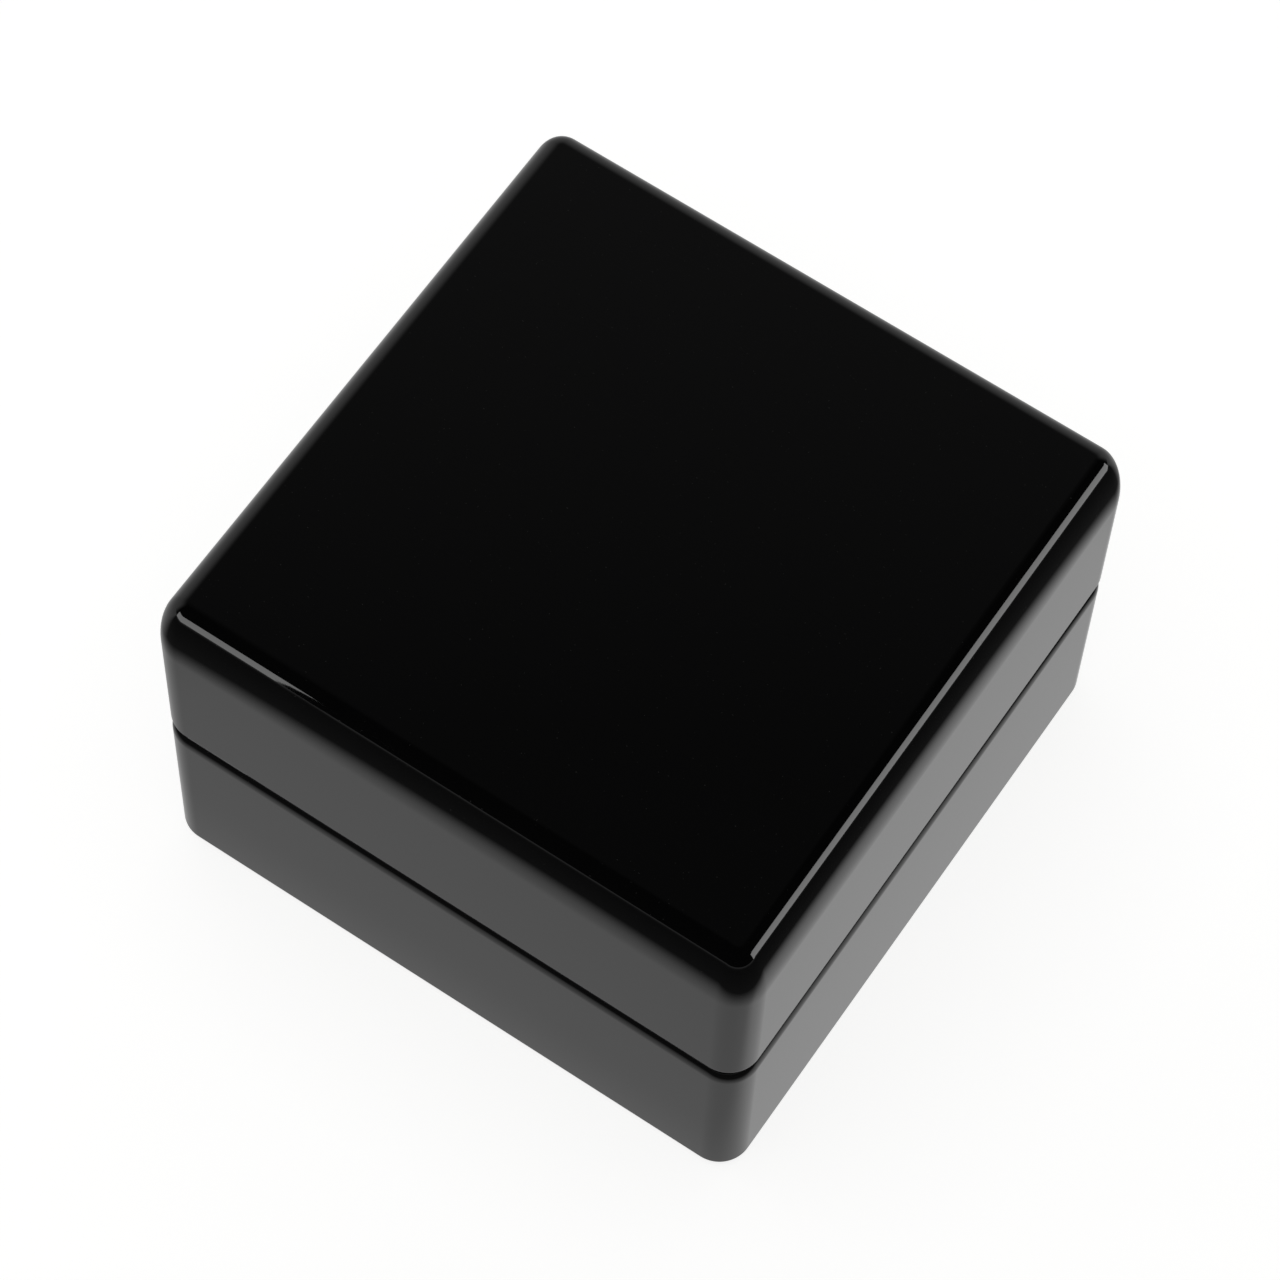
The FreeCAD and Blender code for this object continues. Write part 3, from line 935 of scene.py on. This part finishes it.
def studio_world(scene):
    """A dark room whose wall behind and to the left is pale and fades out with height."""
    world = bpy.data.worlds.new("studio")
    world.use_nodes = True
    scene.world = world
    graph = Graph(world.node_tree)
    direction = graph.add("ShaderNodeTexCoord").outputs["Generated"]
    split = graph.add("ShaderNodeSeparateXYZ", {}, {0: direction})
    x, y, z = (Value(graph, socket) for socket in split.outputs)
    wall = graph.ramp(z, [(0.0, 0.50), (0.40, 0.50), (0.64, 0.34), (0.80, 0.14), (0.90, 0.03)])
    behind = graph.between((y - x) * DIAGONAL, 0.05, 0.45)
    background = graph.add("ShaderNodeBackground", {}, {"Color": wall * behind + 0.012})
    graph.add("ShaderNodeOutputWorld", {}, {"Surface": background.outputs[0]})


def standing_softbox(name, azimuth, width, height, material):
    """An upright sheet that faces the box: azimuth is turned from the front, towards +X,
    and height is the heights of its two level edges."""
    turn = math.radians(azimuth)
    away = np.array([math.sin(turn), -math.cos(turn)])
    along = np.array([-away[1], away[0]])
    ends = [away * SOFTBOX_DISTANCE + along * side * width / 2 for side in (-1, 1)]
    low, high = height
    corners = [(*ends[0], low), (*ends[0], high), (*ends[1], high), (*ends[1], low)]
    only_in_gloss(stage_sheet(name, corners, material))


def only_in_gloss(thing):
    """A card that lights reflections and nothing else."""
    thing.visible_camera = False
    thing.visible_diffuse = False
    thing.visible_shadow = False
    thing.visible_transmission = False


def overhead_fill(name, centre, size, radiance):
    """A large soft light that faces straight down and isn't seen in the lacquer."""
    data = bpy.data.lights.new(name, "AREA")
    data.shape = "RECTANGLE"
    data.size, data.size_y = size
    data.energy = radiance * math.pi * size[0] * size[1]
    lamp = bpy.data.objects.new(name, data)
    lamp.location = centre
    lamp.visible_glossy = False
    bpy.context.collection.objects.link(lamp)


def place_camera(scene):
    """The camera on its line of sight, turned by its roll and raised in its own plane."""
    stage = scene.box_stage
    level = math.cos(stage.elevation)
    back = Vector((math.sin(stage.azimuth) * level, -math.cos(stage.azimuth) * level,
                   math.sin(stage.elevation)))
    side = Vector((0, 0, 1)).cross(back).normalized()
    up = back.cross(side)
    right = side * math.cos(stage.roll) + up * math.sin(stage.roll)
    up = back.cross(right)
    aim = Vector((0, 0, BASE_LOW.z + stage.aim_height))
    camera = bpy.data.objects.new("camera", bpy.data.cameras.new("camera"))
    camera.data.lens = stage.lens
    turn = Matrix((right, up, back)).transposed()
    camera.matrix_world = Matrix.Translation(aim + back * stage.distance
                                             + up * stage.rise) @ turn.to_4x4()
    bpy.context.collection.objects.link(camera)
    scene.camera = camera


class BOX_OT_stage(bpy.types.Operator):
    """Sets the floor, the lights and the camera"""
    bl_idname = "box.stage"
    bl_label = "Stage"

    def execute(self, context):
        scene = context.scene
        stage = scene.box_stage
        level_sheet("floor", FLOOR_REACH, 0.0, lit_table(stage.floor_glow))
        # Painted reflection: a glowing card just over the floor that only the lacquer sees.
        only_in_gloss(level_sheet("ground_reflection", CARD_REACH, CARD_HEIGHT,
                                  ground_reflection()))
        studio_world(scene)
        standing_softbox("softbox_right", 115, 0.95, (0.03, 0.60),
                         softbox_cloth(3.4, NO_FADE))
        standing_softbox("softbox_left", -31, 0.72, (0.06, 0.52),
                         softbox_cloth(3.0, (-0.47, -0.38)))
        overhead_fill("fill", (0.1, -0.3, 1.6), (1.8, 1.8), stage.fill_level)
        place_camera(scene)
        scene.view_settings.view_transform = "Standard"
        return {"FINISHED"}


# ---------------------------------------------------------------- add-on

STEPS = (
    BOX_OT_lacquered_shells,
    BOX_OT_wall_linings,
    BOX_OT_foam_insert,
    BOX_OT_felt_foot,
    BOX_OT_cushion,
    BOX_OT_lid_pad,
    BOX_OT_hardware,
    BOX_OT_stage,
)


class BOX_PT_maker(bpy.types.Panel):
    """Lists the box's steps and settings"""
    bl_idname = "BOX_PT_maker"
    bl_label = "Presentation box"
    bl_space_type = "VIEW_3D"
    bl_region_type = "UI"
    bl_category = "Box"

    def draw(self, context):
        for step in STEPS:
            self.layout.operator(step.bl_idname)
        for name, group in GROUPS.items():
            column = self.layout.column()
            for field in group.__annotations__:
                column.prop(getattr(context.scene, name), field)


def register():
    """Adds the classes and the scene's settings."""
    for kind in (*GROUPS.values(), *STEPS, BOX_PT_maker):
        bpy.utils.register_class(kind)
    for name, group in GROUPS.items():
        setattr(bpy.types.Scene, name, bpy.props.PointerProperty(type=group))


def unregister():
    """Takes them away again."""
    for name in GROUPS:
        delattr(bpy.types.Scene, name)
    for kind in reversed((*GROUPS.values(), *STEPS, BOX_PT_maker)):
        bpy.utils.unregister_class(kind)


def main():
    """Builds everything in order."""
    register()
    for step in STEPS:
        getattr(bpy.ops.box, step.bl_idname.split(".")[1])()


if __name__ == "__main__":
    main()
